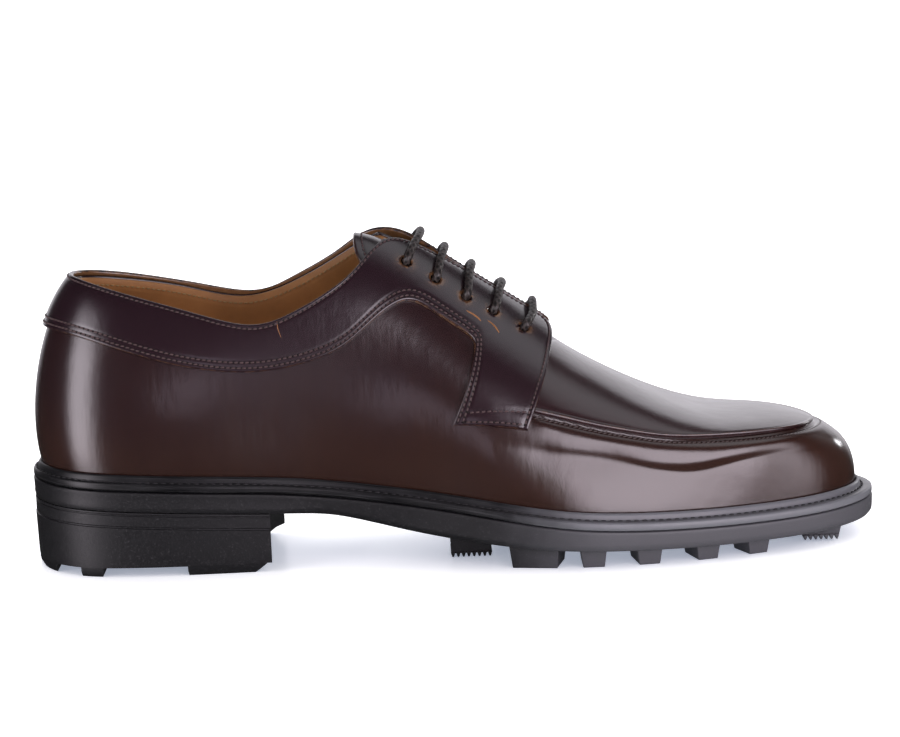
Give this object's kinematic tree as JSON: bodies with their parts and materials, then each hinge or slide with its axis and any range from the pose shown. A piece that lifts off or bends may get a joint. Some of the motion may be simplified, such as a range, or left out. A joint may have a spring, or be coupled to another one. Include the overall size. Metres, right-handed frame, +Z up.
{
  "type": "derby shoe",
  "caption": "Right-foot leather derby shoe with a raised apron toe, open lacing, stitched collar band, lipped welt and lugged rubber sole and heel.",
  "frame": {"origin": "middle of the bounding box, on the floor plane under the sole", "axes": "+X from heel to toe, -Y towards the outer (lateral) side, +Y towards the inner (medial) side, +Z up"},
  "size_m": [0.306, 0.1089, 0.1165],
  "materials": {
    "upper_leather": "burnished smooth calf, satin to gloss",
    "facing_leather": "burnished smooth calf, satin",
    "apron_leather": "burnished smooth calf, satin to gloss",
    "tongue_leather": "smooth calf, satin",
    "insole_leather": "natural tan lining leather, matte",
    "welt_leather": "black dressed edge, waxed",
    "sole_rubber": "matte black rubber",
    "heel_rubber": "matte black rubber",
    "lace_cord": "waxed round braid"
  },
  "bodies": {
    "root": {"upper": "upper_leather", "facing_lateral": "facing_leather", "facing_medial": "facing_leather", "apron": "apron_leather", "tongue": "tongue_leather", "insole": "insole_leather", "welt": "welt_leather", "outsole": "sole_rubber", "heel": "heel_rubber", "lace_bar_1": "lace_cord", "lace_bar_2": "lace_cord", "lace_bar_3": "lace_cord", "lace_bar_4": "lace_cord", "lace_bar_5": "lace_cord"}
  },
  "joints": []
}
